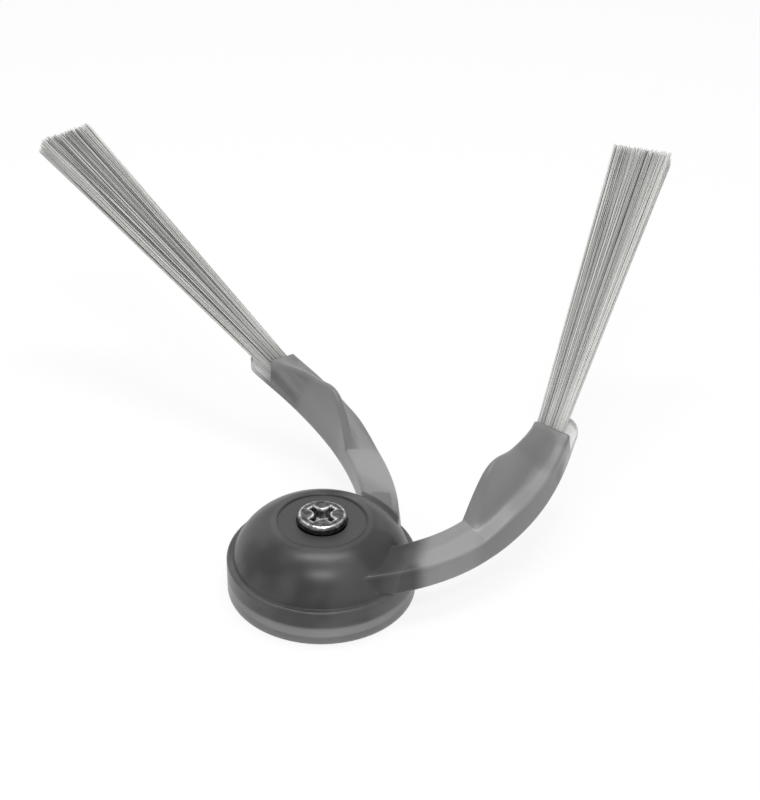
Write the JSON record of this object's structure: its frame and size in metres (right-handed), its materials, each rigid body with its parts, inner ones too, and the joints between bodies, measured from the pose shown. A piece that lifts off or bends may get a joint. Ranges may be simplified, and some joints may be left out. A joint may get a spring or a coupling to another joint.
{
  "type": "robot vacuum side brush",
  "caption": "Soft side brush for a robot vacuum cleaner: a domed hub held by a screw, with curved arms that rise to bristle holders and tufts of bristles.",
  "frame": {"origin": "centre of the hub's lower face, on the turning axis", "axes": "+Z along the turning axis from the face that meets the machine to the screw head; the first arm leaves the hub towards +X"},
  "size_m": [0.0858, 0.0696, 0.0361],
  "materials": {
    "soft_rubber": "satin, smoky and slightly translucent",
    "core_plastic": "satin",
    "screw_steel": "plated, polished",
    "bristle_nylon": "satin filament"
  },
  "bodies": {
    "root": {"brush_body": "soft_rubber", "hub_core": "core_plastic", "screw": "screw_steel", "bristle_tuft_right": "bristle_nylon", "bristle_tuft_left": "bristle_nylon"}
  },
  "joints": []
}
